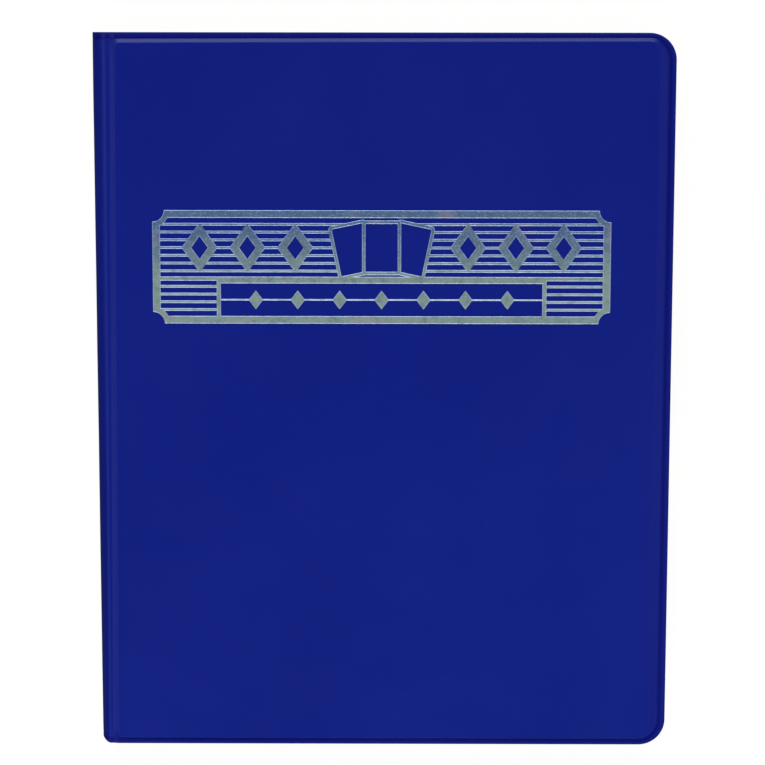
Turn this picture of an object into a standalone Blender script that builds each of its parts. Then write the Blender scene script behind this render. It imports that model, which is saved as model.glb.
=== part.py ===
"""Nine-pocket trading card binder, closed and lying on its rear cover.

X runs from the spine to the fore edge, Y up the cover and Z through the thickness, front cover on top.
The origin is the middle of the outline, on the face that the binder lies on. Units are metres.

The wrap is two plies of vinyl sealed together along every edge and along both hinges, with a chipboard
in each of its three panels. Ten pocket pages are fused into a binding strip inside the spine.
"""

import math

import bmesh
import bpy

# Driving dimensions
COVER_HEIGHT = 0.311
OVERALL_WIDTH = 0.2487
CORNER_RADIUS = 0.0115
PAGE_COUNT = 10

# Wrap: vinyl skin, chipboard and vinyl liner, with the clearance kept between parts
VINYL = 0.0004
BOARD = 0.0018
CLEARANCE = 0.0003
PANEL = 2 * VINYL + 2 * CLEARANCE + BOARD
SEAL_WIDTH = 0.0024
SEAL_DEPTH = 0.0013
SEAL_SLOPE = 0.0016
SHOULDER = 0.0007
HINGE_CORNER_RADIUS = 0.0012
BOARD_INSET = 0.0052

# Pages: a back film and a pocket film, a pocket's depth apart
FILM = 0.00025
POCKET_DEPTH = CLEARANCE
PAGE = 2 * FILM + POCKET_DEPTH
PAGE_PITCH = 0.0013
PAGE_TO_COVER = 0.0008
PAGE_HEIGHT = 0.296
PAGE_TO_FORE_EDGE = 0.0065
PAGE_CORNER_RADIUS = 0.003

# Pockets of one page, counted from its fore edge and its foot
COLUMNS = 3
ROWS = 3
POCKET_WIDTH = 0.0675
POCKET_HEIGHT = 0.0955
POCKET_SIDE_MARGIN = 0.005
POCKET_FOOT_MARGIN = 0.004
MOUTH_LENGTH = 0.061
MOUTH_HEIGHT = 0.0022

# Spine and hinges: the outside of the spine is half an ellipse, and each hinge axis lies in its web
SPINE_DEPTH = 0.00685
HINGE_INSET = 0.0033
SPINE_HALF_TURN = 35
WEB_START = 38
WEB_END = 88
SPINE_BOARD_WIDTH = 0.0085
SPINE_LINER_WIDTH = 0.0100
SPINE_BOARD_INSET = 0.0015

# Binding strip: one fin for each page, longest in the middle so that the turned pages stack
BINDING_BASE = 0.0010
FIRST_FIN = 0.0007
FIN_THICKNESS = 0.0006
FIN_STEP = 0.00115
FIN_TO_AXIS = 0.0006

# Foil plaque on the front cover: a frame around pinstripes, pips and three cards, over a lower bar
EMBLEM_WIDTH = 0.1964
EMBLEM_HEIGHT = 0.0488
EMBLEM_CENTRE = (-0.0006, 0.0558)
EMBLEM_THICKNESS = 0.00012
EMBLEM_GAP = 0.0001
EMBLEM_BAND = 0.0033
EMBLEM_SCOOP = 0.005
CORNER_BAND = 0.0024
STRIPE = 0.00115
STRIPE_GAPS = 13
RAIL_STRIPE = 7
RAIL = 0.0018
PIP_WIDTH = 0.0155
PIP_HEIGHT = 0.0213
PIP_LINE = 0.0042
PIP_PLACES = (0.037, 0.0575, 0.078)
PIP_STRIPE = 3
CARD_WIDTH = 0.0168
CARD_HEIGHT = 0.0235
CARD_CORNER_RADIUS = 0.0018
CARD_LINE = 0.0015
CARD_TILT = 12
CARD_SPACING = 0.0125
CARD_DROP = 0.0008
LOWER_BAR_HALF_WIDTH = 0.069
LOZENGE_COUNT = 7
LOZENGE_PITCH = 0.018
LOZENGE_WIDTH = 0.0062
LOZENGE_HEIGHT = 0.0082
STRING = 0.0007

# Derived sizes
THICKNESS = 2 * PANEL + 2 * PAGE_TO_COVER + (PAGE_COUNT - 1) * PAGE_PITCH + PAGE
SPINE_X = -OVERALL_WIDTH / 2
FORE_EDGE_X = OVERALL_WIDTH / 2
HALF_HEIGHT = COVER_HEIGHT / 2
COVER_HINGE_X = SPINE_X + SPINE_DEPTH + CLEARANCE / 2
SPINE_LINER_X = SPINE_X + SPINE_BOARD_INSET + BOARD + CLEARANCE
BINDING_X = SPINE_LINER_X + VINYL + CLEARANCE
FIRST_AXIS_X = BINDING_X + BINDING_BASE + FIRST_FIN + FIN_TO_AXIS
PAGE_EDGE_X = FORE_EDGE_X - PAGE_TO_FORE_EDGE
WEB = 2 * VINYL + CLEARANCE
LINER_SEAL_DEPTH = PANEL - SEAL_DEPTH - WEB
STRIPE_PITCH = (EMBLEM_HEIGHT - 2 * EMBLEM_BAND + STRIPE) / STRIPE_GAPS

# How far a cutter, and what it spares, stand out of the plaque on both sides
SHORT = 0.001
TALL = 0.002

CORNER_STEPS = 6
WEB_STEPS = 10
SPINE_STEPS = 10
MOUTH_STEPS = 4

FINISHES = {
    "cover_vinyl": ((0.008, 0.016, 0.205), 0.35, 0.0),
    "liner_vinyl": ((0.008, 0.014, 0.170), 0.45, 0.0),
    "chipboard": ((0.38, 0.31, 0.22), 0.9, 0.0),
    "clear_film": ((0.80, 0.83, 0.86), 0.15, 0.0),
    "binding_plastic": ((0.70, 0.72, 0.74), 0.4, 0.0),
    "foil": ((0.42, 0.52, 0.42), 0.3, 0.9),
}


def clear_scene():
    for existing in list(bpy.data.objects):
        bpy.data.objects.remove(existing)


def make_finish(name):
    colour, roughness, metallic = FINISHES[name]
    finish = bpy.data.materials.new(name)
    finish.use_nodes = True
    shader = finish.node_tree.nodes["Principled BSDF"]
    shader.inputs["Base Color"].default_value = (*colour, 1)
    shader.inputs["Roughness"].default_value = roughness
    shader.inputs["Metallic"].default_value = metallic
    return finish


def add_pivot(name, x, z, parent=None):
    """Empty on a hinge axis, which runs along Y."""
    pivot = bpy.data.objects.new(name, None)
    bpy.context.scene.collection.objects.link(pivot)
    pivot.parent = parent
    pivot.location = (x, 0, z)
    if parent:
        pivot.location -= parent.matrix_world.translation
    bpy.context.view_layer.update()
    return pivot


def add_object(name, data, finish, pivot, z=0.0):
    """Object whose data is drawn about the frame's own axes at height z, carried by a hinge's pivot."""
    made = bpy.data.objects.new(name, data)
    bpy.context.scene.collection.objects.link(made)
    data.materials.append(bpy.data.materials[finish])
    made.location.z = z
    if pivot:
        made.parent = pivot
        made.location -= pivot.matrix_world.translation
    return made


def loft(name, rings, finish, pivot):
    """Closed solid through rings that have the same number of points, with both end rings filled."""
    shape = bmesh.new()
    rows = [[shape.verts.new(point) for point in ring] for ring in rings]
    for row, following in zip(rows, rows[1:]):
        for i in range(len(row)):
            j = (i + 1) % len(row)
            shape.faces.new((row[i], row[j], following[j], following[i]))
    shape.faces.new(rows[0])
    shape.faces.new(rows[-1])
    bmesh.ops.recalc_face_normals(shape, faces=shape.faces)
    mesh = bpy.data.meshes.new(name)
    shape.to_mesh(mesh)
    shape.free()
    return add_object(name, mesh, finish, pivot)


def extrusion(name, profile, half_length, finish, pivot):
    """Solid of one (x, z) profile, run along Y and centred on the frame."""
    ends = [[(x, y, z) for x, z in profile] for y in (-half_length, half_length)]
    return loft(name, ends, finish, pivot)


def plate(name, outline, holes, z, thickness, finish, pivot):
    """Flat plate with holes, centred on height z."""
    curve = bpy.data.curves.new(name, "CURVE")
    curve.dimensions = "2D"
    curve.fill_mode = "BOTH"
    curve.extrude = thickness / 2
    for loop in [outline, *holes]:
        spline = curve.splines.new("POLY")
        spline.points.add(len(loop) - 1)
        for point, (x, y) in zip(spline.points, loop):
            point.co = (x, y, 0, 1)
        spline.use_cyclic_u = True
    return add_object(name, curve, finish, pivot, z)


def arc(x, y, radius, start, turn, steps):
    """Points on an arc about (x, y), in degrees, both ends included."""
    angles = [math.radians(start + turn * step / steps) for step in range(steps + 1)]
    return [(x + radius * math.cos(a), y + radius * math.sin(a)) for a in angles]


def rounded_outline(low_x, high_x, low_y, high_y, low_radius, high_radius):
    """Anticlockwise rectangle whose corners have one radius at low x and another at high x."""
    low, high, steps = low_radius, high_radius, CORNER_STEPS
    return [
        *arc(low_x + low, low_y + low, low, 180, 90, steps),
        *arc(high_x - high, low_y + high, high, 270, 90, steps),
        *arc(high_x - high, high_y - high, high, 0, 90, steps),
        *arc(low_x + low, high_y - low, low, 90, 90, steps),
    ]


def cover_ring(hinge_inset, edge_inset, z):
    """Cover outline at height z, drawn in from its hinge side and from its other three sides."""
    outline = rounded_outline(
        COVER_HINGE_X + hinge_inset,
        FORE_EDGE_X - edge_inset,
        -HALF_HEIGHT + edge_inset,
        HALF_HEIGHT - edge_inset,
        HINGE_CORNER_RADIUS,
        CORNER_RADIUS - edge_inset,
    )
    return [(x, y, z) for x, y in outline]


def vinyl_tray(name, face_z, inward, seal_depth, finish, pivot):
    """Vinyl ply over a board: a flat field, a sloped shoulder and the sealed rim.

    face_z is the visible face's height and inward is +1 or -1, the way from it to the ply's other side.
    """
    slope_start = SEAL_WIDTH
    slope_end = SEAL_WIDTH + SEAL_SLOPE
    field = slope_end + SHOULDER
    shoulder_depth = seal_depth / 5
    visible = [
        (SHOULDER / 2, slope_start, seal_depth),
        (SEAL_SLOPE, slope_end, shoulder_depth),
        (SEAL_SLOPE + SHOULDER, field, 0),
    ]
    rings = [cover_ring(h, e, face_z + inward * d) for h, e, d in reversed(visible)]
    rings.append(cover_ring(0, 0, face_z + inward * seal_depth))
    rings.append(cover_ring(0, 0, face_z + inward * (seal_depth + VINYL)))
    rings += [
        cover_ring(h + VINYL, e + VINYL, face_z + inward * (d + VINYL))
        for h, e, d in visible
    ]
    return loft(name, rings, finish, pivot)


def cover(side, outer_z, inward, pivot):
    """One cover: outer skin, chipboard and liner, named after its side."""
    inner_z = outer_z + inward * PANEL
    vinyl_tray(f"{side}_cover_skin", outer_z, inward, SEAL_DEPTH, "cover_vinyl", pivot)
    vinyl_tray(f"{side}_cover_liner", inner_z, -inward, LINER_SEAL_DEPTH, "liner_vinyl", pivot)
    board_depths = (VINYL + CLEARANCE, VINYL + CLEARANCE + BOARD)
    hinge_inset = BOARD_INSET - SEAL_WIDTH
    rings = [
        cover_ring(hinge_inset, BOARD_INSET, outer_z + inward * depth)
        for depth in board_depths
    ]
    loft(f"{side}_cover_board", rings, "chipboard", pivot)


def spine_curve(degrees, inset):
    """Point inside the spine's outer ellipse by inset, at an angle from the middle of the spine."""
    turn = math.radians(degrees)
    reach = SPINE_DEPTH
    rise = THICKNESS / 2 - SEAL_DEPTH
    normal_x = rise * math.cos(turn)
    normal_z = reach * math.sin(turn)
    size = math.hypot(normal_x, normal_z)
    x = SPINE_X + reach * (1 - math.cos(turn)) + inset * normal_x / size
    z = THICKNESS / 2 + rise * math.sin(turn) - inset * normal_z / size
    return x, z


def spine_shell(name, start, end, thickness, steps, finish, pivot):
    """Shell that follows the spine's ellipse between two angles."""
    angles = [start + (end - start) * step / steps for step in range(steps + 1)]
    outside = [spine_curve(angle, 0) for angle in angles]
    inside = [spine_curve(angle, thickness) for angle in reversed(angles)]
    return extrusion(name, outside + inside, HALF_HEIGHT, finish, pivot)


def strip(name, low_x, thickness, width, half_length, finish, pivot):
    """Flat strip that stands along the spine."""
    low_z = (THICKNESS - width) / 2
    high_z = (THICKNESS + width) / 2
    profile = [
        (low_x, low_z),
        (low_x + thickness, low_z),
        (low_x + thickness, high_z),
        (low_x, high_z),
    ]
    return extrusion(name, profile, half_length, finish, pivot)


def spine(pivot):
    """Spine panel with its skin, board and liner."""
    half_turn = SPINE_HALF_TURN
    spine_shell("spine_skin", -half_turn, half_turn, VINYL, SPINE_STEPS, "cover_vinyl", pivot)
    board_half = HALF_HEIGHT - BOARD_INSET
    board_x = SPINE_X + SPINE_BOARD_INSET
    strip("spine_board", board_x, BOARD, SPINE_BOARD_WIDTH, board_half, "chipboard", pivot)
    liner_x = SPINE_LINER_X
    strip("spine_liner", liner_x, VINYL, SPINE_LINER_WIDTH, HALF_HEIGHT, "liner_vinyl", pivot)


def hinge_webs(front_pivot, spine_pivot):
    """Flexible webs, both vinyl plies sealed together, that join the spine to each cover."""
    start, end = WEB_START, WEB_END
    spine_shell("front_hinge_web", start, end, WEB, WEB_STEPS, "cover_vinyl", front_pivot)
    spine_shell("rear_hinge_web", -start, -end, WEB, WEB_STEPS, "cover_vinyl", spine_pivot)


def page_z(number):
    """Height of a page's middle, with page 1 next to the front cover."""
    first = THICKNESS - PANEL - PAGE_TO_COVER - PAGE / 2
    return first - (number - 1) * PAGE_PITCH


def page_axis_x(number):
    """Hinge axis of a page: the fins, and so the axes, step out towards the middle pages."""
    steps_from_cover = min(number - 1, PAGE_COUNT - number)
    return FIRST_AXIS_X + steps_from_cover * FIN_STEP


def binding(pivot):
    """Binding strip with one fin for each page, all one fused piece."""
    base_x = BINDING_X
    fin_root_x = BINDING_X + BINDING_BASE
    foot = page_z(PAGE_COUNT) - FIN_THICKNESS
    head = page_z(1) + FIN_THICKNESS
    profile = [(base_x, head), (base_x, foot), (fin_root_x, foot)]
    for number in range(PAGE_COUNT, 0, -1):
        tip_x = page_axis_x(number) - FIN_TO_AXIS
        low = page_z(number) - FIN_THICKNESS / 2
        high = page_z(number) + FIN_THICKNESS / 2
        profile += [(fin_root_x, low), (tip_x, low), (tip_x, high), (fin_root_x, high)]
    profile.append((fin_root_x, head))
    extrusion("page_binding", profile, PAGE_HEIGHT / 2, "binding_plastic", pivot)


def pocket_mouths():
    """Slots in the pocket film through which cards enter, one along the head of each pocket."""
    mouths = []
    radius = MOUTH_HEIGHT / 2
    for column in range(COLUMNS):
        middle_x = PAGE_EDGE_X - POCKET_SIDE_MARGIN - (column + 0.5) * POCKET_WIDTH
        for row in range(1, ROWS + 1):
            y = -PAGE_HEIGHT / 2 + POCKET_FOOT_MARGIN + row * POCKET_HEIGHT
            reach = MOUTH_LENGTH / 2 - radius
            mouths.append(
                arc(middle_x - reach, y, radius, 90, 180, MOUTH_STEPS)
                + arc(middle_x + reach, y, radius, 270, 180, MOUTH_STEPS)
            )
    return mouths


def page(number, pivot):
    """One page: a plain back film, and over it the pocket film, which faces the front cover."""
    outline = rounded_outline(
        page_axis_x(number),
        PAGE_EDGE_X,
        -PAGE_HEIGHT / 2,
        PAGE_HEIGHT / 2,
        PAGE_CORNER_RADIUS / 10,
        PAGE_CORNER_RADIUS,
    )
    offset = (POCKET_DEPTH + FILM) / 2
    back_z = page_z(number) - offset
    pocket_z = page_z(number) + offset
    name = f"page_{number:02d}"
    plate(f"{name}_back_film", outline, [], back_z, FILM, "clear_film", pivot)
    plate(f"{name}_pocket_film", outline, pocket_mouths(), pocket_z, FILM, "clear_film", pivot)


def emblem_outline():
    """Plaque outline with a quarter circle scooped out of each corner."""
    half_x = EMBLEM_WIDTH / 2
    half_y = EMBLEM_HEIGHT / 2
    scoop = EMBLEM_SCOOP
    return [
        *arc(-half_x, -half_y, scoop, 90, -90, CORNER_STEPS),
        *arc(half_x, -half_y, scoop, 180, -90, CORNER_STEPS),
        *arc(half_x, half_y, scoop, 270, -90, CORNER_STEPS),
        *arc(-half_x, half_y, scoop, 0, -90, CORNER_STEPS),
    ]


def rectangle(low_x, high_x, low_y, high_y):
    return [(low_x, low_y), (high_x, low_y), (high_x, high_y), (low_x, high_y)]


def diamond(x, y, width, height):
    return [(x - width / 2, y), (x, y - height / 2), (x + width / 2, y), (x, y + height / 2)]


def stripe_y(number):
    """Middle of a pinstripe, counted down from the band at the plaque's head."""
    return EMBLEM_HEIGHT / 2 - EMBLEM_BAND - (number + 1) * STRIPE_PITCH + STRIPE / 2


def card_outline(place, inset):
    """One card of the fan: place is -1, 0 or 1 from left to right."""
    half_x = CARD_WIDTH / 2 - inset
    half_y = CARD_HEIGHT / 2 - inset
    radius = CARD_CORNER_RADIUS - inset
    card = rounded_outline(-half_x, half_x, -half_y, half_y, radius, radius)
    tilt = math.radians(-place * CARD_TILT)
    centre_x = place * CARD_SPACING
    centre_y = (stripe_y(-1) + stripe_y(RAIL_STRIPE)) / 2 - abs(place) * CARD_DROP
    cos, sin = math.cos(tilt), math.sin(tilt)
    return [(centre_x + x * cos - y * sin, centre_y + x * sin + y * cos) for x, y in card]


def cutter(name, loops, reach):
    """Hidden prisms through the plaque, reach metres proud of it on both sides."""
    shape = bmesh.new()
    centre_x, centre_y = EMBLEM_CENTRE
    low_z = THICKNESS + EMBLEM_GAP - reach
    high_z = THICKNESS + EMBLEM_GAP + EMBLEM_THICKNESS + reach
    for loop in loops:
        foot, head = (
            [shape.verts.new((centre_x + x, centre_y + y, z)) for x, y in loop]
            for z in (low_z, high_z)
        )
        shape.faces.new(foot)
        shape.faces.new(head)
        for i in range(len(loop)):
            j = (i + 1) % len(loop)
            shape.faces.new((foot[i], foot[j], head[j], head[i]))
    bmesh.ops.recalc_face_normals(shape, faces=shape.faces)
    mesh = bpy.data.meshes.new(name)
    shape.to_mesh(mesh)
    shape.free()
    made = bpy.data.objects.new(name, mesh)
    bpy.context.scene.collection.objects.link(made)
    made.hide_render = True
    made.display_type = "WIRE"
    return made


def subtract(target, *cutters):
    for tool in cutters:
        modifier = target.modifiers.new(tool.name, "BOOLEAN")
        modifier.operation = "DIFFERENCE"
        modifier.solver = "EXACT"
        modifier.object = tool


def pinstripe_gaps():
    """Slots between the pinstripes, which the lower bar shortens under the rail."""
    gaps = []
    outer_x = EMBLEM_WIDTH / 2 - EMBLEM_BAND
    for number in range(STRIPE_GAPS):
        high_y = stripe_y(number - 1) - STRIPE / 2
        low_y = stripe_y(number) + STRIPE / 2
        if number == RAIL_STRIPE:
            low_y = stripe_y(number) + RAIL / 2
        if number == RAIL_STRIPE + 1:
            high_y = stripe_y(number - 1) - RAIL / 2
        if number <= RAIL_STRIPE:
            gaps.append(rectangle(-outer_x, outer_x, low_y, high_y))
        else:
            inner_x = LOWER_BAR_HALF_WIDTH + RAIL
            gaps.append(rectangle(-outer_x, -inner_x, low_y, high_y))
            gaps.append(rectangle(inner_x, outer_x, low_y, high_y))
    return gaps


def stripes_cutter(cards):
    """Cuts the gaps between the pinstripes, and keeps the pips, the cards and the plaque's corners."""
    pips = [diamond(x, y, PIP_WIDTH, PIP_HEIGHT) for x, y in pip_centres()]
    corners = [
        arc(x, y, EMBLEM_SCOOP + CORNER_BAND, 0, 345, 23)
        for x in (-EMBLEM_WIDTH / 2, EMBLEM_WIDTH / 2)
        for y in (-EMBLEM_HEIGHT / 2, EMBLEM_HEIGHT / 2)
    ]
    gaps = cutter("cut_between_stripes", pinstripe_gaps(), SHORT)
    kept_pips = cutter("kept_pips", pips, TALL)
    kept_corners = cutter("kept_corners", corners, TALL)
    subtract(gaps, kept_pips, kept_corners, *cards)
    return gaps


def pip_centres():
    return [(side * x, stripe_y(PIP_STRIPE)) for x in PIP_PLACES for side in (-1, 1)]


def pip_windows():
    slimming = 1 - 2 * PIP_LINE / PIP_WIDTH
    width, height = PIP_WIDTH * slimming, PIP_HEIGHT * slimming
    return [diamond(x, y, width, height) for x, y in pip_centres()]


def lower_bar_cutter():
    """Cuts the field of the lower bar, and keeps a row of lozenges on a string across it."""
    low = -EMBLEM_HEIGHT / 2 + EMBLEM_BAND
    high = stripe_y(RAIL_STRIPE) - RAIL / 2 - STRIPE
    middle = (low + high) / 2
    end = LOWER_BAR_HALF_WIDTH
    string = rectangle(-end - RAIL, end + RAIL, middle - STRING / 2, middle + STRING / 2)
    lozenges = []
    for number in range(LOZENGE_COUNT):
        x = (number - (LOZENGE_COUNT - 1) / 2) * LOZENGE_PITCH
        lozenges.append(diamond(x, middle, LOZENGE_WIDTH, LOZENGE_HEIGHT))
    bar = cutter("cut_lower_bar", [rectangle(-end, end, low, high)], SHORT)
    subtract(bar, cutter("kept_string", [string], TALL), cutter("kept_lozenges", lozenges, TALL))
    return bar


def emblem(pivot):
    """Foil plaque, all one piece: what isn't foil is cut out of a plate."""
    centre_x, centre_y = EMBLEM_CENTRE
    low_z = THICKNESS + EMBLEM_GAP
    rings = [
        [(centre_x + x, centre_y + y, z) for x, y in emblem_outline()]
        for z in (low_z, low_z + EMBLEM_THICKNESS)
    ]
    plaque = loft("foil_emblem", rings, "foil", pivot)
    cards = [
        cutter(f"kept_{name}_card", [card_outline(place, 0)], TALL)
        for place, name in enumerate(("left", "middle", "right"), -1)
    ]
    side_cards = [card_outline(place, CARD_LINE) for place in (-1, 1)]
    side_windows = cutter("cut_side_cards", side_cards, SHORT)
    subtract(side_windows, cards[1])
    middle_window = cutter("cut_middle_card", [card_outline(0, CARD_LINE)], SHORT)
    pips = cutter("cut_pips", pip_windows(), SHORT)
    subtract(plaque, stripes_cutter(cards), side_windows, middle_window, pips, lower_bar_cutter())


def binder():
    clear_scene()
    for name in FINISHES:
        make_finish(name)
    hinge_x = SPINE_X + HINGE_INSET
    spine_pivot = add_pivot("rear_hinge_axis", hinge_x, HINGE_INSET)
    front_pivot = add_pivot("front_hinge_axis", hinge_x, THICKNESS - HINGE_INSET, spine_pivot)
    cover("rear", 0, 1, None)
    cover("front", THICKNESS, -1, front_pivot)
    spine(spine_pivot)
    hinge_webs(front_pivot, spine_pivot)
    binding(spine_pivot)
    for number in range(1, PAGE_COUNT + 1):
        axis_name = f"page_{number:02d}_axis"
        pivot = add_pivot(axis_name, page_axis_x(number), page_z(number), spine_pivot)
        page(number, pivot)
    emblem(front_pivot)


binder()
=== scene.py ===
"""Looks of the trading card binder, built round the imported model: vinyl wrap, foil plaque and clear pages."""

import math

import bmesh
import bpy
import numpy as np
from mathutils import Matrix, Vector, noise


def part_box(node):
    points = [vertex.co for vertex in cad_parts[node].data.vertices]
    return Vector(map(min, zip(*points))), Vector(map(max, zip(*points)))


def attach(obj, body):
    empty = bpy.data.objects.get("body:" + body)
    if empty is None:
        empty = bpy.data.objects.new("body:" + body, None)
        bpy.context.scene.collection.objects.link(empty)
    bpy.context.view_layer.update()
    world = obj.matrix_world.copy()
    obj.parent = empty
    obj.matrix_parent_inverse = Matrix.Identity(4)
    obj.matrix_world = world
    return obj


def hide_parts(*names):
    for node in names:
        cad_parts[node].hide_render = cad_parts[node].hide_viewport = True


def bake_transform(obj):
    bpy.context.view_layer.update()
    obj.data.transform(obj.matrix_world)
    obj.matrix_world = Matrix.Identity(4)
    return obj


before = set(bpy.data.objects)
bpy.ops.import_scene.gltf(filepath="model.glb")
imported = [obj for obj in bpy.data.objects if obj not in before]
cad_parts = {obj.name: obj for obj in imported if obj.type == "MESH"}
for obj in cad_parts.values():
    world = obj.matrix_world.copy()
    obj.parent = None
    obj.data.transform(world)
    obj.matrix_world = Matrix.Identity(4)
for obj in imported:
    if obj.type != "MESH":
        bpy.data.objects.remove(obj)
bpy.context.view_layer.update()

MM = 0.001

# The closed binder's own planes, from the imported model
SKIN_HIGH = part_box("front_cover_skin")[1]
SPINE_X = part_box("spine_skin")[0].x
WIDTH = SKIN_HIGH.x - SPINE_X
HALF_HEIGHT = SKIN_HIGH.y
THICKNESS = SKIN_HIGH.z
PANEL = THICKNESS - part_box("front_cover_liner")[0].z
HALF_THICKNESS = THICKNESS / 2

# Vinyl wrap: u runs from the spine's back to the fore edge, w down from a cover's outer face
FORE_RADIUS = 11.5 * MM
PLY = 0.4 * MM
RIM_PLY = 0.5 * MM
RIM_DEPTH = 1.3 * MM
PLY_GAP = 0.02 * MM
UNEVENNESS = 0.05 * MM
UNEVEN_LENGTH = 45 * MM
FIELD_STEP = 6 * MM

# Spine and hinge: a quarter ellipse up to SPINE_TURN degrees, a groove, and a rise to the cover's field
SPINE_TOP = 0.6 * MM
SPINE_TURN = 75
SPINE_STEPS = 26
HINGE_STEPS = 26
GROOVE_U = 7.6 * MM
GROOVE_DEPTH = 0.15 * MM
GROOVE_WIDTH = 0.6 * MM
RISE_START = 8.4 * MM
RISE_END = 10.4 * MM
FIELD_START = 12.5 * MM

# The groove and its ridge lie off square: HEAD_DRIFT towards the fore edge at the head, and from there to the
# foot DRIFT_TO_FOOT the other way. This fades in and out over two stretches of u.
HEAD_DRIFT = 0.3 * MM
DRIFT_TO_FOOT = 2.6 * MM
DRIFT_FADE_IN = (0, 8 * MM)
DRIFT_FADE_OUT = (10 * MM, 34 * MM)

# The spine's foot end is tucked in
FOOT_TUCK = 1.2 * MM
FOOT_TUCK_LENGTH = 14 * MM
FOOT_TUCK_U = 7 * MM
FOOT_TUCK_POWER = 1.3

# Sealed rim, by distance in from the edge: the slope up to the field runs from SEAL_EDGE to a SLOPE_END.
# A NARROWING divides the widths along its edge, and the head's two are at the spine and at the fore edge.
SEAL_EDGE = 2.55 * MM
HEAD_SLOPE_END = 4.6 * MM
FOOT_SLOPE_END = 3.7 * MM
FORE_SLOPE_END = 5.8 * MM
FORE_SLOPE_POWER = 1.8
SPINE_SLOPE_EXTRA = 4 * MM
SPINE_SLOPE_FADE = (8 * MM, 12 * MM)
HEAD_RIM_NARROWING = (0.94, 1.2)
FOOT_RIM_NARROWING = 1.2
FORE_RIM_NARROWING = 0.88

# Relief of the rim, from the edge inwards: a rolled edge, a bead and a pressed line, fainter on the spine
ROLL_DEPTH, ROLL_WIDTH = 0.16 * MM, 0.3 * MM
BEAD_HEIGHT, BEAD_PLACE, BEAD_WIDTH = 0.08 * MM, 1.1 * MM, 0.5 * MM
LINE_DEPTH, LINE_PLACE, LINE_WIDTH = 0.16 * MM, 2.45 * MM, 0.35 * MM
SPINE_RELIEF = 0.2
RELIEF_FADE = (2 * MM, 8 * MM)

# Darker vinyl on the weld: partly the sealed vinyl's own tone, partly painted shade deepest in the crease
# before the slope, weaker over the outermost edge
WELD_AND_SHADE_FADE = (2.6 * MM, 3.5 * MM)
CREASE_SHADE_FADE = (1.1 * MM, 2.2 * MM)
EDGE_WELD_AND_SHADE = 0.4

# Pages. From the hinge axis the films reach ROOT back and wave fully past CALM_LENGTH.
FILM = 0.16 * MM
FILM_GAP = 0.01 * MM
SEAL_THICKNESS = 0.05 * MM
PAGE_COUNT = 10
PAGE_RADIUS = 3 * MM
COLUMNS = 3
ROWS = 3
POCKET_WIDTH = 67.5 * MM
POCKET_HEIGHT = 95.5 * MM
SIDE_MARGIN = 5 * MM
FOOT_MARGIN = 4 * MM
SEAM = 2 * MM
MOUTH_LENGTH = 61 * MM
MOUTH_HEIGHT = 2.2 * MM
POCKET_BULGE = 0.1 * MM
POCKET_SLOPE = 7 * MM
PAGE_WAVE = 0.1 * MM
PAGE_WAVE_LENGTH = 70 * MM
ROOT = 0.5 * MM
CALM_LENGTH = 12 * MM

# Grid lines of the films, as distances from the root, a seam and a mouth
NEAR_ROOT = np.array((1, 2.5, 6, 11)) * MM
NEAR_SEAM = np.array((-1, -0.5, 0.5, 1, 2.2, 4, 8)) * MM
NEAR_MOUTH = np.array((-40, -20, -8, -4, -2.2, -1.1, 1.1, 2.1, 3.1, 5, 9, 20)) * MM
LINE_SPACING = 0.2 * MM

# Foil: the lip's width and height, and how far the foil's foot reaches below the CAD plaque, into the vinyl
LIP = 0.15 * MM
LIP_HEIGHT = 0.06 * MM
FOIL_ROOT = 0.25 * MM
# Foil colours at the plaque's foot and at its head: the foot lighter and greener, the head darker and bluer, a
# painted reflection
FOIL_REFLECTION_COLOURS = (0.40, 0.51, 0.48, 1), (0.14, 0.225, 0.44, 1)
# The lip's colours, paler than the foil's: a painted highlight along every line
LIP_HIGHLIGHT_COLOURS = (0.47, 0.55, 0.78, 1), (0.32, 0.42, 0.73, 1)


# Shapes


def smoothstep(low, high, value):
    t = np.clip((value - low) / (high - low), 0, 1)
    return t * t * (3 - 2 * t)


def bump(centre, width, value):
    return np.exp(-(((value - centre) / width) ** 2))


def waves(x, y, wavelength, seed):
    """Smooth noise between -1 and 1 over a plane."""
    flat = zip(np.ravel(x), np.ravel(y))
    values = [noise.noise(Vector((a / wavelength, b / wavelength, seed))) for a, b in flat]
    return np.array(values).reshape(np.shape(x))


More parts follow.
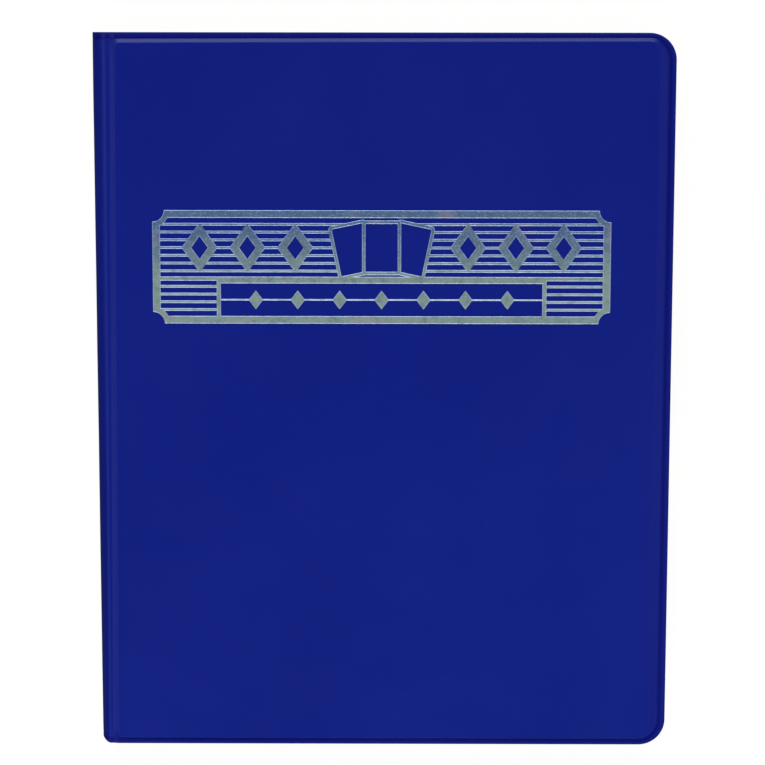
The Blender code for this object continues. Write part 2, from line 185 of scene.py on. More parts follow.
def shell(name, outer, inner, filled=None, edge_slot=0, weld_and_shade=None):
    """Closed sheet between two grids of points, (rows, columns, 3) each.

    filled says which cells hold material; walls close the sheet wherever it stops, with their own material
    slot. Each point keeps its place at rest in the attribute "rest_place", which the materials read, so that
    they follow the sheet. Where weld_and_shade is given, its share of 0 to 1 goes in the attribute
    "weld_and_shade": the welded vinyl's darker tone with painted shade, deepest at the crease.
    """
    rows, columns = outer.shape[:2]
    if filled is None:
        filled = np.ones((rows - 1, columns - 1), bool)
    index = np.arange(rows * columns).reshape(rows, columns)
    lower = index + rows * columns

    def quads(grid):
        corners = (grid[:-1, :-1], grid[1:, :-1], grid[1:, 1:], grid[:-1, 1:])
        return np.stack(corners, -1)[filled]

    faces = [quads(index), quads(lower)[:, ::-1]]
    sheet_faces = 2 * len(faces[0])
    padded = np.pad(filled, 1)
    inside = padded[1:-1, 1:-1]
    sides = (
        (padded[:-2, 1:-1], (0, 0), (0, 1)),
        (padded[2:, 1:-1], (1, 1), (1, 0)),
        (padded[1:-1, :-2], (1, 0), (0, 0)),
        (padded[1:-1, 2:], (0, 1), (1, 1)),
    )
    for neighbour, first, second in sides:
        i, j = np.nonzero(inside & ~neighbour)
        a = index[i + first[0], j + first[1]]
        b = index[i + second[0], j + second[1]]
        faces.append(np.stack((a, b, b + rows * columns, a + rows * columns), -1))
    faces = np.concatenate(faces)
    points = np.concatenate((outer.reshape(-1, 3), inner.reshape(-1, 3)))
    used, compact = np.unique(faces, return_inverse=True)
    points, faces = points[used], compact.reshape(faces.shape)
    corners = points[faces]
    middle = corners.mean(1)
    across = np.cross(corners[:, 2] - corners[:, 0], corners[:, 3] - corners[:, 1])
    if (middle * across).sum() < 0:
        faces = faces[:, ::-1]
    mesh = bpy.data.meshes.new(name)
    mesh.from_pydata(points.tolist(), [], faces.tolist())
    place = mesh.attributes.new("rest_place", "FLOAT_VECTOR", "POINT")
    place.data.foreach_set("vector", points.astype(np.float32).ravel())
    if weld_and_shade is not None:
        share = np.concatenate((weld_and_shade.ravel(), weld_and_shade.ravel()))[used]
        mesh.attributes.new("weld_and_shade", "FLOAT", "POINT").data.foreach_set("value", share.astype(np.float32))
    mesh.shade_smooth()
    mesh.set_sharp_from_angle(angle=math.radians(40))
    slots = np.zeros(len(faces), np.int32)
    slots[sheet_faces:] = edge_slot
    mesh.polygons.foreach_set("material_index", slots)
    piece = bpy.data.objects.new(name, mesh)
    bpy.context.scene.collection.objects.link(piece)
    return piece


def edge_lines(reach, last_step):
    """Distances in from an edge, close together over the sealed rim."""
    rim = [0, 0.1 * MM, 0.25 * MM, *np.arange(0.5 * MM, 6.2 * MM, 0.3 * MM)]
    rest = np.arange(rim[-1] + last_step, reach - last_step / 2, last_step)
    return np.array([*rim, *rest, reach])


def round_corners(u, y, edge_u, edge_y, radius):
    """Pulls the two square corners at the far end of u round, along arcs about each corner's centre."""
    centre_u, centre_y = edge_u - radius, edge_y - radius
    a = (u - centre_u) / radius
    b = (np.abs(y) - centre_y) / radius
    in_corner = (a > 0) & (b > 0)
    reach = np.maximum(a, b)
    low, high = np.minimum(a, b), np.where(reach > 0, reach, 1)
    turn = math.pi / 4 * low / high
    turn = np.where(b > a, math.pi / 2 - turn, turn)
    round_u = centre_u + radius * reach * np.cos(turn)
    round_y = np.sign(y) * (centre_y + radius * reach * np.sin(turn))
    return np.where(in_corner, round_u, u), np.where(in_corner, round_y, y)


# The vinyl wrap


def spine_arc(turn, inset_u, reach, top):
    """Quarter ellipse from the spine's back to the hinge: its inset, its reach and its top's depth."""
    u = inset_u + (reach - inset_u) * (1 - np.cos(turn))
    w = HALF_THICKNESS - (HALF_THICKNESS - top) * np.sin(turn)
    return u, w


def hinge_depth(u, inset_u, reach, top):
    """Depth on the same ellipse at u, level past its top."""
    share = np.clip((reach - u) / (reach - inset_u), 0, 1)
    return HALF_THICKNESS - (HALF_THICKNESS - top) * np.sqrt(1 - share**2)


def section(inset_u, reach, top, groove, end_depth, flat_u=0):
    """One surface of the wrap across the binder, as rows of (u, w): spine, hinge groove and cover."""
    turn = np.radians(np.linspace(0, SPINE_TURN, SPINE_STEPS))
    u, w = spine_arc(turn, inset_u, reach, top)
    hinge_u = np.linspace(u[-1], FIELD_START, HINGE_STEPS + 1)[1:]
    hinge_w = hinge_depth(hinge_u, inset_u, reach, top)
    rise = smoothstep(RISE_START, RISE_END, hinge_u)
    hinge_w += groove * bump(GROOVE_U, GROOVE_WIDTH, hinge_u)
    hinge_w += (end_depth - hinge_w) * rise
    field_end = WIDTH - FORE_RADIUS
    field_steps = round((field_end - FIELD_START) / FIELD_STEP)
    field_u = np.linspace(FIELD_START, field_end, field_steps + 1)[1:]
    rim_u = WIDTH - edge_lines(FORE_RADIUS, MM)[::-1][1:]
    far_u = np.concatenate((field_u, rim_u))
    u = np.concatenate((u, hinge_u, far_u))
    w = np.concatenate((w, hinge_w, np.full(len(far_u), end_depth)))
    return np.stack((np.maximum(u, flat_u * (w > 3 * MM)), w), -1)


def outward(line):
    """Unit normals of a section, pointing out of the binder."""
    along = np.gradient(line, axis=0)
    along /= np.linalg.norm(along, axis=1, keepdims=True)
    return np.stack((along[:, 1], -along[:, 0]), -1)


def rim_relief(distance, u):
    """Height of the sealed rim: a rolled edge, a low bead and a pressed line before the slope."""
    edge = -ROLL_DEPTH * np.clip(1 - distance / ROLL_WIDTH, 0, 1) ** 2
    bead = BEAD_HEIGHT * bump(BEAD_PLACE, BEAD_WIDTH, distance)
    line = -LINE_DEPTH * bump(LINE_PLACE, LINE_WIDTH, distance)
    on_cover = smoothstep(*RELIEF_FADE, u)
    return edge + (bead + line) * (SPINE_RELIEF + (1 - SPINE_RELIEF) * on_cover)


def wrap_grid():
    """u and y of each point once rounded, its distance in from the edge and its share of full height."""
    sheet_u = OUTER[:, 0]
    line = edge_lines(FORE_RADIUS, MM)
    steps = round(2 * (HALF_HEIGHT - FORE_RADIUS) / FIELD_STEP)
    middle = np.linspace(-HALF_HEIGHT + FORE_RADIUS, HALF_HEIGHT - FORE_RADIUS, steps + 1)[1:-1]
    columns = np.concatenate((-HALF_HEIGHT + line, middle, HALF_HEIGHT - line[::-1]))
    u, y = np.meshgrid(sheet_u, columns, indexing="ij")
    to_end = HALF_HEIGHT - np.abs(y)
    to_fore = WIDTH - u
    distance = np.minimum(to_end, to_fore)
    towards_end = smoothstep(0, 1, np.clip((to_fore - to_end) / FORE_RADIUS + 0.5, 0, 1))
    head_narrowing = np.interp(u, (0, WIDTH), HEAD_RIM_NARROWING)
    end_narrowing = np.where(y > 0, head_narrowing, FOOT_RIM_NARROWING)
    distance = distance * (FORE_RIM_NARROWING + (end_narrowing - FORE_RIM_NARROWING) * towards_end)
    fore = np.clip((distance - SEAL_EDGE) / (FORE_SLOPE_END - SEAL_EDGE), 0, 1) ** FORE_SLOPE_POWER
    slope_end = np.where(y > 0, HEAD_SLOPE_END, FOOT_SLOPE_END)
    slope_end = slope_end + SPINE_SLOPE_EXTRA * (1 - smoothstep(*SPINE_SLOPE_FADE, u))
    lift = fore + (smoothstep(SEAL_EDGE, slope_end, distance) - fore) * towards_end
    round_u, round_y = round_corners(u, y, WIDTH, HALF_HEIGHT, FORE_RADIUS)
    tuck = np.clip(1 - u / FOOT_TUCK_U, 0, 1) ** FOOT_TUCK_POWER
    near_foot = 1 - smoothstep(0, FOOT_TUCK_LENGTH, HALF_HEIGHT + round_y)
    return (round_u, round_y + FOOT_TUCK * tuck * near_foot), distance, lift


OUTER = section(inset_u=0, reach=7.3 * MM, top=SPINE_TOP, groove=GROOVE_DEPTH, end_depth=0)
MIDDLE = section(inset_u=0.6 * MM, reach=6.9 * MM, top=1.7 * MM, groove=0.1 * MM, end_depth=RIM_DEPTH)
INNER = section(
    inset_u=1.75 * MM, reach=6.4 * MM, top=2.7 * MM, groove=-0.2 * MM, end_depth=PANEL, flat_u=4.0 * MM
)


def hinge_drift(u, y):
    """How far the groove and its ridge lie off square: nearer the spine's back at the foot."""
    to_foot = 0.5 - y / (2 * HALF_HEIGHT)
    near_hinge = smoothstep(*DRIFT_FADE_IN, u) * (1 - smoothstep(*DRIFT_FADE_OUT, u))
    return (HEAD_DRIFT - DRIFT_TO_FOOT * to_foot) * near_hinge


def wrap_ply(name, side, outside, seed):
    """One cover's outer or inner vinyl ply, with its hinge and half of the spine. side is -1 behind."""
    (u, y), distance, lift = wrap_grid()
    facing = 1 if outside else -1
    surface = OUTER if outside else INNER
    normal = outward(MIDDLE) * facing
    thick = np.abs(surface - MIDDLE).max(1)
    rim_ply = np.minimum(RIM_PLY, thick)[:, None]
    ply = np.minimum(PLY, thick - PLY_GAP)[:, None]
    drift = hinge_drift(u, y) * (1 if outside else 1 - lift)
    shift = u + drift - OUTER[:, 0][:, None]
    relief = (rim_relief(distance, u) * smoothstep(0, 1, 1 - lift))[..., None]
    lift = lift[..., None]
    uneven = UNEVENNESS * waves(u, y, UNEVEN_LENGTH, seed)[..., None] * lift
    seen = (MIDDLE + rim_ply * normal)[:, None] * (1 - lift) + surface[:, None] * lift
    seen = seen + normal[:, None] * (relief + uneven - UNEVENNESS * lift)
    back = (MIDDLE + PLY_GAP * normal)[:, None] * (1 - lift)
    back = back + (surface - ply * normal)[:, None] * lift

    def placed(points):
        x = SPINE_X + points[..., 0] + shift
        z = THICKNESS - points[..., 1] if side > 0 else points[..., 1]
        return np.stack((x, y, z), -1)

    # Share of darker vinyl over the rim: the weld's own tone and painted shade, deepest at the crease before
    # the slope, less over the outermost edge
    weld_and_shade = EDGE_WELD_AND_SHADE + (1 - EDGE_WELD_AND_SHADE) * smoothstep(*CREASE_SHADE_FADE, distance)
    weld_and_shade = (1 - smoothstep(*WELD_AND_SHADE_FADE, distance)) * weld_and_shade
    return shell(name, placed(seen), placed(back), weld_and_shade=weld_and_shade)


def hinge_ends(side, outside):
    """Two places across a ply's hinge, from the cover to the spine; u and w are in mm here."""
    start_u, start_w = (7.6, 1.9) if outside else (7.2, 2.4)
    end_u, end_w = (1.6, 6.4) if outside else (4.3, 3.5)

    def place(u, w):
        z = THICKNESS - w * MM if side > 0 else w * MM
        return SPINE_X + u * MM, 0, z

    return place(start_u, start_w), place(end_u, end_w)


def wrap():
    for side, half in ((1, "front"), (-1, "rear")):
        for outside in (True, False):
            ply = "skin" if outside else "liner"
            piece = wrap_ply(f"{half}_wrap_{ply}", side, outside, side * (3 if outside else 7))
            piece.data.materials.append(COVER_VINYL if outside else LINER_VINYL)
            start, end = hinge_ends(side, outside)
            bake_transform(piece)
            nodes = [f"{half}_cover_{ply}", f"spine_{ply}"]
            if outside:
                nodes.append(f"{half}_hinge_web")
            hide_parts(*nodes)


# Pages


class Page:
    """One page's place: its hinge axis, its plane and its outline."""

    def __init__(self, number):
        self.name = f"page_{number:02d}"
        low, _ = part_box(f"{self.name}_back_film")
        _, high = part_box(f"{self.name}_pocket_film")
        self.seed = number * 5.3
        self.axis_x = low.x
        self.edge_x = high.x
        self.half_height = high.y
        self.z = (low.z + high.z) / 2
        foot = -self.half_height + FOOT_MARGIN
        self.mouth_y = [foot + row * POCKET_HEIGHT for row in range(1, ROWS + 1)]
        side = self.edge_x - SIDE_MARGIN
        self.seam_x = [side - column * POCKET_WIDTH for column in range(COLUMNS + 1)]

    def lines(self):
        """Grid lines of the films, close together at every seam, mouth and edge."""
        xs = {self.axis_x - ROOT, self.axis_x, *(self.axis_x + NEAR_ROOT)}
        for number, x in enumerate(self.seam_x):
            xs.update(x + NEAR_SEAM if number < COLUMNS else x + NEAR_SEAM[:5])
            xs.update(x - NEAR_SEAM)
        for x in self.seam_x[:-1]:
            middle = x - POCKET_WIDTH / 2
            for side in (-1, 1):
                xs.update((middle + side * MOUTH_LENGTH / 2, middle + side * POCKET_WIDTH / 4))
            xs.add(middle)
        corner = np.linspace(0, PAGE_RADIUS, 5)
        xs.update(self.edge_x - corner)
        ys = {*(self.half_height - corner), *(corner - self.half_height), -self.half_height + FOOT_MARGIN}
        ys.add(-self.half_height + FOOT_MARGIN + 1 * MM)
        for y in self.mouth_y:
            ys.update(y + NEAR_MOUTH)
        ys = {y for y in ys if abs(y) <= self.half_height}
        return thinned(xs), thinned(ys)


def thinned(values):
    """Sorted values with any that nearly coincide dropped."""
    kept = []
    for value in sorted(values):
        if not kept or value - kept[-1] > LINE_SPACING:
            kept.append(value)
    return np.array(kept)


def pocket_lift(page, x, y):
    """0 on the seams and margins of a page, rising to 1 inside each pocket."""
    lift = np.zeros(np.shape(x))
    for seam_x in page.seam_x[:-1]:
        for mouth_y in page.mouth_y:
            across = np.minimum(seam_x - SEAM / 2 - x, x - (seam_x - POCKET_WIDTH + SEAM / 2))
            foot = mouth_y - POCKET_HEIGHT + MOUTH_HEIGHT / 2 + SEAM
            along = np.minimum(y - foot, mouth_y + MOUTH_HEIGHT - y)
            inside = np.minimum(across, along)
            lift = np.maximum(lift, smoothstep(0, POCKET_SLOPE, inside))
    return lift


def film(page, name, base, thickness, bulge, filled=None, edge_slot=0):
    """Film of a page: base metres above the page's middle, lifted over each pocket by bulge."""
    xs, ys = page.lines()
    x, y = np.meshgrid(xs, ys, indexing="ij")
    waving = smoothstep(page.axis_x, page.axis_x + CALM_LENGTH, x)
    height = page.z + PAGE_WAVE * waves(x, y, PAGE_WAVE_LENGTH, page.seed) * waving
    height = height + base + bulge * pocket_lift(page, x, y)
    round_x, round_y = round_corners(x, y, page.edge_x, page.half_height, PAGE_RADIUS)
    top = np.stack((round_x, round_y, height + thickness), -1)
    foot = np.stack((round_x, round_y, height), -1)
    return shell(name, top, foot, None if filled is None else filled(xs, ys), edge_slot)


def cell_middles(xs, ys):
    return np.meshgrid((xs[1:] + xs[:-1]) / 2, (ys[1:] + ys[:-1]) / 2, indexing="ij")


def build_page(number):
    page = Page(number)

    def without_mouths(xs, ys):
        x, y = cell_middles(xs, ys)
        cut = np.zeros(x.shape, bool)
        for seam_x in page.seam_x[:-1]:
            across = np.abs(x - (seam_x - POCKET_WIDTH / 2)) < MOUTH_LENGTH / 2
            for mouth_y in page.mouth_y:
                cut |= across & (np.abs(y - mouth_y) < MOUTH_HEIGHT / 2)
        return ~cut

    def on_seams(xs, ys):
        x, y = cell_middles(xs, ys)
        low_y, high_y = page.mouth_y[0] - POCKET_HEIGHT, page.mouth_y[-1] + MOUTH_HEIGHT
        upright = np.zeros(x.shape, bool)
        for seam_x in page.seam_x:
            upright |= np.abs(x - seam_x) < SEAM / 2
        upright &= (y > low_y + MOUTH_HEIGHT / 2) & (y < high_y)
        level = np.zeros(x.shape, bool)
        for mouth_y in (page.mouth_y[0] - POCKET_HEIGHT, *page.mouth_y[:-1]):
            foot = mouth_y + MOUTH_HEIGHT / 2
            level |= (y > foot) & (y < foot + SEAM)
        level &= (x > page.seam_x[-1] - SEAM / 2) & (x < page.seam_x[0] + SEAM / 2)
        return upright | level

    back = film(page, f"{page.name}_back", -FILM_GAP - FILM, FILM, -POCKET_BULGE, edge_slot=1)
    pockets = film(page, f"{page.name}_pockets", FILM_GAP, FILM, POCKET_BULGE, without_mouths, edge_slot=1)
    seals = film(page, f"{page.name}_seals", FILM_GAP + FILM, SEAL_THICKNESS, 0, on_seams)
    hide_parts(f"{page.name}_back_film")
    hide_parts(f"{page.name}_pocket_film")
    finishes = ((back, (CLEAR_FILM, FILM_EDGE)), (pockets, (CLEAR_FILM, FILM_EDGE)), (seals, (SEALED_FILM,)))
    for piece, materials in finishes:
        for finish in materials:
            piece.data.materials.append(finish)
    for piece in (back, pockets):
        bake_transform(piece)
    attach(seals, page.name)


# Materials


class Nodes:
    """Small helper that adds linked nodes to a material."""

    def __init__(self, name):
        self.material = bpy.data.materials.new(name)
        self.material.use_nodes = True
        self.tree = self.material.node_tree
        self.shader = self.tree.nodes["Principled BSDF"]

    def add(self, kind, **inputs):
        node = self.tree.nodes.new(kind)
        for key, value in inputs.items():
            self.set(node.inputs[key.replace("_", " ")], value)
        return node

    def set(self, socket, value):
        if isinstance(value, bpy.types.NodeSocket):
            self.tree.links.new(value, socket)
        else:
            socket.default_value = value

    def shade(self, **inputs):
        for key, value in inputs.items():
            self.set(self.shader.inputs[key.replace("_", " ")], value)

    def place(self, attribute):
        """Where a point lies at rest: from the attribute, or from the object if it never bends."""
        if not attribute:
            return self.add("ShaderNodeTexCoord").outputs["Object"]
        node = self.add("ShaderNodeAttribute")
        node.attribute_name = attribute
        return node.outputs["Vector"]

    def noise(self, place, size, detail=2.0, roughness=0.5):
        """Noise whose features are about size metres across."""
        node = self.add("ShaderNodeTexNoise", Vector=place, Scale=1 / size, Detail=detail)
        node.inputs["Roughness"].default_value = roughness
        return node.outputs["Fac"]

    def map(self, value, low, high, to_low, to_high):
        node = self.add("ShaderNodeMapRange")
        for index, item in enumerate((value, low, high, to_low, to_high)):
            self.set(node.inputs[index], item)
        return node.outputs["Result"]

    def mix(self, factor, first, second):
        node = self.add("ShaderNodeMix")
        node.data_type = "RGBA"
        self.set(node.inputs[0], factor)
        self.set(node.inputs[6], first)
        self.set(node.inputs[7], second)
        return node.outputs[2]

    def math(self, operation, first, second):
        node = self.add("ShaderNodeMath")
        node.operation = operation
        self.set(node.inputs[0], first)
        self.set(node.inputs[1], second)
        return node.outputs[0]

    def relief(self, height, distance, strength=1.0):
        node = self.add("ShaderNodeBump", Height=height, Distance=distance, Strength=strength)
        return node.outputs["Normal"]


def vinyl(name, colour, lighter, weld_and_shade_colour, grain_size, grain_depth, roughness):
    """Calendered vinyl: a pebbled grain, faintly cloudy colour and uneven gloss, darker on the weld, partly as
    painted shade deepest in the crease before the rim's slope.
    """
    nodes = Nodes(name)
    place = nodes.place("rest_place")
    attribute = nodes.add("ShaderNodeAttribute")
    attribute.attribute_name = "weld_and_shade"
    weld_and_shade = attribute.outputs["Fac"]
    cloud = nodes.noise(place, 90 * MM, 3)
    fine = nodes.noise(place, 2.5 * MM, 2)
    cell = nodes.add("ShaderNodeTexVoronoi", Vector=place, Scale=1 / grain_size)
    cell.feature = "SMOOTH_F1"
    pebble = cell.outputs["Distance"]
    grit = nodes.noise(place, grain_size / 3, 1)
    colours = nodes.mix(nodes.map(cloud, 0.3, 0.7, 0, 1), (*colour, 1), (*lighter, 1))
    # Painted shade with the weld's own darker tone: the rim darkens most at the crease before the slope
    colours = nodes.mix(weld_and_shade, colours, (*weld_and_shade_colour, 1))
    height = nodes.math("ADD", pebble, nodes.math("MULTIPLY", grit, 0.4))
    uneven = nodes.math("ADD", nodes.math("MULTIPLY", cloud, 0.6), nodes.math("MULTIPLY", fine, 0.4))
    nodes.shade(
        Base_Color=colours,
        Roughness=nodes.map(uneven, 0.35, 0.65, roughness - 0.04, roughness + 0.05),
        Normal=nodes.relief(height, grain_depth, nodes.map(weld_and_shade, 0, 1, 1, 0.3)),
    )
    nodes.shader.inputs["Specular IOR Level"].default_value = 0.2
    return nodes.material


def clear_plastic(name, colour, alpha, roughness, ribs):
    """Clear film with faint haze; the sealed strips are frosted and ribbed."""
    nodes = Nodes(name)
    place = nodes.place("rest_place")
    haze = nodes.noise(place, 25 * MM, 3)
    lighter = tuple(min(1, c * 1.12) for c in colour)
    height = nodes.noise(place, 9 * MM, 2)
    distance = 0.02 * MM
    if ribs:
        wave = nodes.add("ShaderNodeTexChecker", Vector=place, Scale=1 / (0.7 * MM))
        height = wave.outputs["Fac"]
        distance = 0.04 * MM
    nodes.shade(
        Base_Color=nodes.mix(haze, (*colour, 1), (*lighter, 1)),
        Roughness=nodes.map(haze, 0.3, 0.7, roughness, roughness + 0.08),
        Normal=nodes.relief(height, distance),
    )
    nodes.shader.inputs["Alpha"].default_value = alpha
    return nodes.material


def foil(name, foot, head):
    """Stamped foil, mottled, that fades from a lighter colour at the plaque's foot to a darker one at its head:
    a painted reflection.
    """
    nodes = Nodes(name)
    place = nodes.place(None)
    low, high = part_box("foil_emblem")
    height = high.y - low.y
    split = nodes.add("ShaderNodeSeparateXYZ", Vector=place)
    grain = nodes.noise(place, 2.0 * MM, 4, 0.7)
    cloud = nodes.noise(place, 16 * MM, 2)
    shift = nodes.math("MULTIPLY", nodes.math("SUBTRACT", cloud, 0.5), 14 * MM)
    ragged = nodes.math("MULTIPLY", nodes.math("SUBTRACT", grain, 0.5), 12 * MM)
    y = nodes.math("ADD", split.outputs["Y"], nodes.math("ADD", shift, ragged))
    # Painted reflection: the foil lighter towards the plaque's foot and darker towards its head
    reflection_to_head = nodes.map(y, low.y + 0.4 * height, low.y + 0.8 * height, 0, 1)
    colour = nodes.mix(reflection_to_head, foot, head)
    fleck = nodes.map(nodes.noise(place, 0.8 * MM, 2), 0.5, 0.7, 0, 1)
    colour = nodes.mix(nodes.math("MULTIPLY", fleck, 0.4), colour, (0.62, 0.72, 0.80, 1))
    stain = nodes.map(nodes.noise(place, 3.5 * MM, 5, 0.7), 0.48, 0.66, 0, 0.45)
    colour = nodes.mix(stain, colour, (0.10, 0.18, 0.24, 1))
    blush = nodes.map(nodes.noise(place, 20 * MM, 1), 0.6, 0.7, 0, 0.3)
    colour = nodes.mix(blush, colour, (0.66, 0.52, 0.58, 1))
    nodes.shade(
        Base_Color=colour,
        Roughness=nodes.map(grain, 0.3, 0.7, 0.28, 0.42),
        Normal=nodes.relief(grain, 0.06 * MM),
    )
    nodes.shader.inputs["Metallic"].default_value = 0.45
    return nodes.material


def foil_plaque():
    """The plaque's foil as stamped: a raised lip round every line in paler foil as a painted highlight, and its
    foot down in the vinyl.
    """
    low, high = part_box("foil_emblem")
    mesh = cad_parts["foil_emblem"].data.copy()
    mesh.name = "stamped_plaque"
    mesh.materials.clear()
    mesh.materials.append(foil("stamped_foil", *FOIL_REFLECTION_COLOURS))
    mesh.materials.append(foil("stamped_foil_lip_highlight", *LIP_HIGHLIGHT_COLOURS))
    shape = bmesh.new()
    shape.from_mesh(mesh)
    bmesh.ops.remove_doubles(shape, verts=shape.verts, dist=0.001 * MM)
    face_middle = (low.z + high.z) / 2
    for face in shape.faces:
        face.material_index = 0
        face.smooth = False
    top = [face for face in shape.faces if min(v.co.z for v in face.verts) > face_middle]
    crest = bmesh.ops.inset_region(shape, faces=top, thickness=LIP, depth=0, use_even_offset=True)["faces"]
    well = bmesh.ops.inset_region(shape, faces=top, thickness=LIP, depth=0, use_even_offset=True)["faces"]
    crown = {vert for face in crest for vert in face.verts} & {vert for face in well for vert in face.verts}
    for vert in shape.verts:
        if vert.co.z < face_middle:
            vert.co.z = low.z - FOIL_ROOT
        elif vert not in crown:
            vert.co.z = high.z - LIP_HEIGHT
    # The lip takes the paler foil: a painted highlight along every line
    for face in (*crest, *well):
        face.material_index = 1
    rim = {edge for face in top for edge in face.edges} & {edge for face in well for edge in face.edges}
    bmesh.ops.delete(shape, geom=top, context="FACES")
    bmesh.ops.triangle_fill(shape, edges=list(rim), use_beauty=True, normal=(0, 0, 1))
    shape.to_mesh(mesh)
    shape.free()
    piece = bpy.data.objects.new("stamped_plaque", mesh)
    bpy.context.scene.collection.objects.link(piece)
    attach(piece, "front_cover")
    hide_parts("foil_emblem")


def chipboard():
    nodes = Nodes("grey_chipboard")
    place = nodes.place(None)
    fibre = nodes.noise(place, 1.5 * MM, 6, 0.7)
    colour = nodes.mix(fibre, (0.24, 0.20, 0.15, 1), (0.48, 0.41, 0.31, 1))
    nodes.shade(Base_Color=colour, Roughness=0.95, Normal=nodes.relief(fibre, 0.1 * MM))
    return nodes.material


def milky_plastic():
    """Page margins fused into one strip: milky and slightly uneven."""
    nodes = Nodes("fused_page_margins")
    place = nodes.place(None)
    cloud = nodes.noise(place, 8 * MM, 3)
    colour = nodes.mix(cloud, (0.58, 0.61, 0.65, 1), (0.74, 0.77, 0.80, 1))
    nodes.shade(
        Base_Color=colour,
        Roughness=nodes.map(cloud, 0.3, 0.7, 0.3, 0.45),
        Normal=nodes.relief(nodes.noise(place, 1.2 * MM, 2), 0.05 * MM),
    )
    nodes.shader.inputs["Subsurface Weight"].default_value = 0.2
    return nodes.material


def dress_cad_nodes():
    finishes = {"page_binding": milky_plastic()}
    board = chipboard()
    for part in ("front_cover_board", "spine_board", "rear_cover_board"):
        finishes[part] = board
    for name, finish in finishes.items():
        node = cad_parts[name]
        node.data.materials.clear()
        node.data.materials.append(finish)


# Studio


# The camera was solved from the taper of the cover's sides in the photo; angles are in degrees
CAMERA_DISTANCE = 1.0296
CAMERA_Y = HALF_HEIGHT + 0.00025
CAMERA_X = 0.0047
CAMERA_PITCH = 8.28
CAMERA_YAW = -0.27
CAMERA_ROLL = 0.076
FOCAL_SHARE = 2410 / 765
SENSOR = 36

# Azimuth in degrees from +Y towards -X, elevation, distance, width, height, radiance and colour
SOFTBOXES = {
    "head_softbox": (3, 36, 8.0, 6.7, 4.8, 5.3, (0.93, 1.0, 1.0)),
    "spine_softbox": (98, 48, 2.0, 2.2, 0.85, 1.05, (1, 1, 1)),
    "fore_softbox": (-90, 54, 2.0, 1.4, 1.1, 0.45, (1, 1, 1)),
    "foot_softbox": (180, 32, 1.3, 1.2, 0.7, 3.2, (0.8, 1.0, 0.97)),
    "high_softbox": (180, 66, 3.0, 3.0, 1.2, 0.17, (0.6, 1.0, 0.9)),
}
UNREFLECTED = "foot_softbox"

# The floor and the world look pale to the camera, and light the binder only faintly
FLOOR_REACH = 20
FLOOR_GLOW = 0.94
WORLD_LIGHT = (0.06, 0.06, 0.062, 1)
WORLD_SEEN = (0.97, 0.97, 0.96, 1)


def camera():
    data = bpy.data.cameras.new("camera")
    data.sensor_width = SENSOR
    data.lens = FOCAL_SHARE * SENSOR
    data.clip_start = 0.01
    data.clip_end = 50
    eye = bpy.data.objects.new("camera", data)
    bpy.context.scene.collection.objects.link(eye)
    pitch, yaw = math.radians(CAMERA_PITCH), math.radians(CAMERA_YAW)
    level = math.cos(pitch)
    ahead = Vector((math.sin(yaw) * level, -math.sin(pitch), -math.cos(yaw) * level))
    right = ahead.cross(Vector((0, 1, 0))).normalized()
    up = right.cross(ahead)
    roll = Matrix.Rotation(math.radians(CAMERA_ROLL), 3, "Z")
    turned = Matrix((right, up, -ahead)).transposed() @ roll
    place = Matrix.Translation((CAMERA_X, CAMERA_Y, THICKNESS + CAMERA_DISTANCE))
    eye.matrix_world = place @ turned.to_4x4()
    bpy.context.scene.camera = eye


def softbox(name, azimuth, elevation, distance, width, height, radiance, colour):
    """Area light of a given radiance that faces the binder."""
    data = bpy.data.lights.new(name, "AREA")
    data.shape = "RECTANGLE"
    data.size, data.size_y = width, height
    data.energy = radiance * math.pi * width * height
    data.color = colour
    lamp = bpy.data.objects.new(name, data)
    bpy.context.scene.collection.objects.link(lamp)
    turn, rise = math.radians(azimuth), math.radians(elevation)
    ahead = Vector((-math.sin(turn) * math.cos(rise), math.cos(turn) * math.cos(rise), math.sin(rise)))
    lamp.location = ahead * distance
    lamp.rotation_euler = (-ahead).to_track_quat("-Z", "Y").to_euler()
    lamp.visible_glossy = name != UNREFLECTED


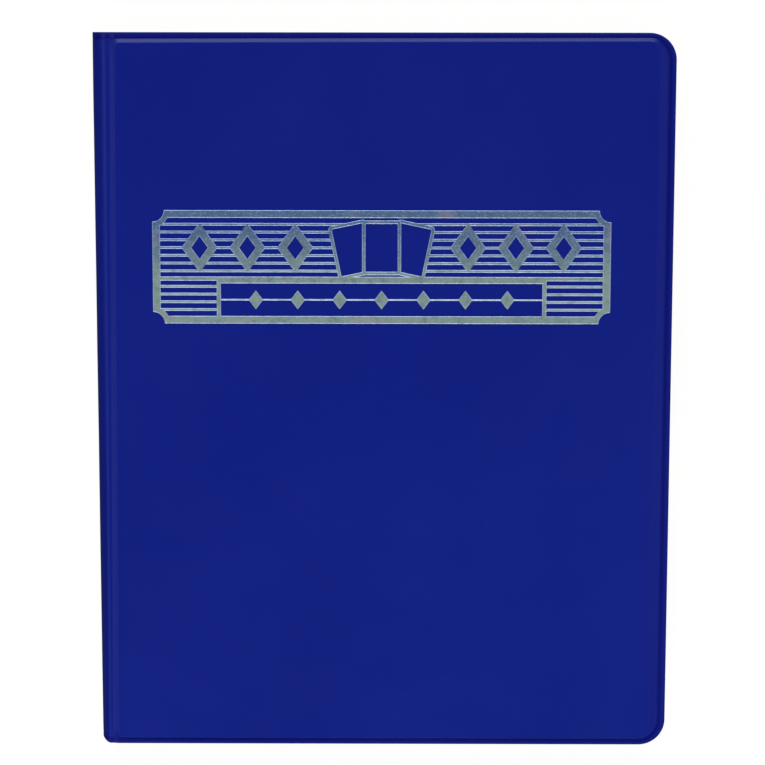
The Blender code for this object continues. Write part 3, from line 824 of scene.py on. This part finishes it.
def floor():
    mesh = bpy.data.meshes.new("floor")
    corners = [(x * FLOOR_REACH, y * FLOOR_REACH, 0) for x, y in ((-1, -1), (1, -1), (1, 1), (-1, 1))]
    mesh.from_pydata(corners, [], [(0, 1, 2, 3)])
    ground = bpy.data.objects.new("floor", mesh)
    bpy.context.scene.collection.objects.link(ground)
    ground.location.z = -0.02 * MM
    nodes = Nodes("pale_floor")
    tone = nodes.noise(nodes.place(None), 0.4, 2)
    seen = nodes.add("ShaderNodeLightPath").outputs["Is Camera Ray"]
    nodes.shade(
        Base_Color=nodes.mix(tone, (0.09, 0.09, 0.09, 1), (0.11, 0.11, 0.11, 1)),
        Roughness=0.9,
        Emission_Color=(1, 1, 0.99, 1),
        Emission_Strength=nodes.math("MULTIPLY", seen, FLOOR_GLOW),
    )
    nodes.shader.inputs["Specular IOR Level"].default_value = 0
    mesh.materials.append(nodes.material)
    ground.visible_glossy = False


def surroundings():
    world = bpy.data.worlds.new("studio")
    bpy.context.scene.world = world
    world.use_nodes = True
    tree = world.node_tree
    background = tree.nodes["Background"]
    seen = tree.nodes.new("ShaderNodeLightPath").outputs["Is Camera Ray"]
    tone = tree.nodes.new("ShaderNodeMix")
    tone.data_type = "RGBA"
    tree.links.new(seen, tone.inputs[0])
    tone.inputs[6].default_value = WORLD_LIGHT
    tone.inputs[7].default_value = WORLD_SEEN
    tree.links.new(tone.outputs[2], background.inputs["Color"])


def studio():
    camera()
    floor()
    surroundings()
    for name, settings in SOFTBOXES.items():
        softbox(name, *settings)
    scene = bpy.context.scene
    scene.view_settings.view_transform = "Standard"
    scene.cycles.transparent_max_bounces = 64


COVER_VINYL = vinyl(
    "cover_vinyl",
    colour=(0.0043, 0.0124, 0.234),
    lighter=(0.0049, 0.0141, 0.252),
    weld_and_shade_colour=(0.0006, 0.0036, 0.162),
    grain_size=0.6 * MM,
    grain_depth=0.02 * MM,
    roughness=0.34,
)
LINER_VINYL = vinyl(
    "liner_vinyl",
    colour=(0.0034, 0.0120, 0.170),
    lighter=(0.0040, 0.0140, 0.188),
    weld_and_shade_colour=(0.0012, 0.0045, 0.135),
    grain_size=0.9 * MM,
    grain_depth=0.03 * MM,
    roughness=0.46,
)
CLEAR_FILM = clear_plastic("clear_film", (0.56, 0.64, 0.74), 0.022, 0.2, False)
FILM_EDGE = clear_plastic("film_edge", (0.84, 0.89, 0.92), 0.8, 0.35, False)
SEALED_FILM = clear_plastic("sealed_film", (0.80, 0.85, 0.88), 0.2, 0.4, True)

wrap()
for page_number in range(1, PAGE_COUNT + 1):
    build_page(page_number)
foil_plaque()
dress_cad_nodes()
studio()
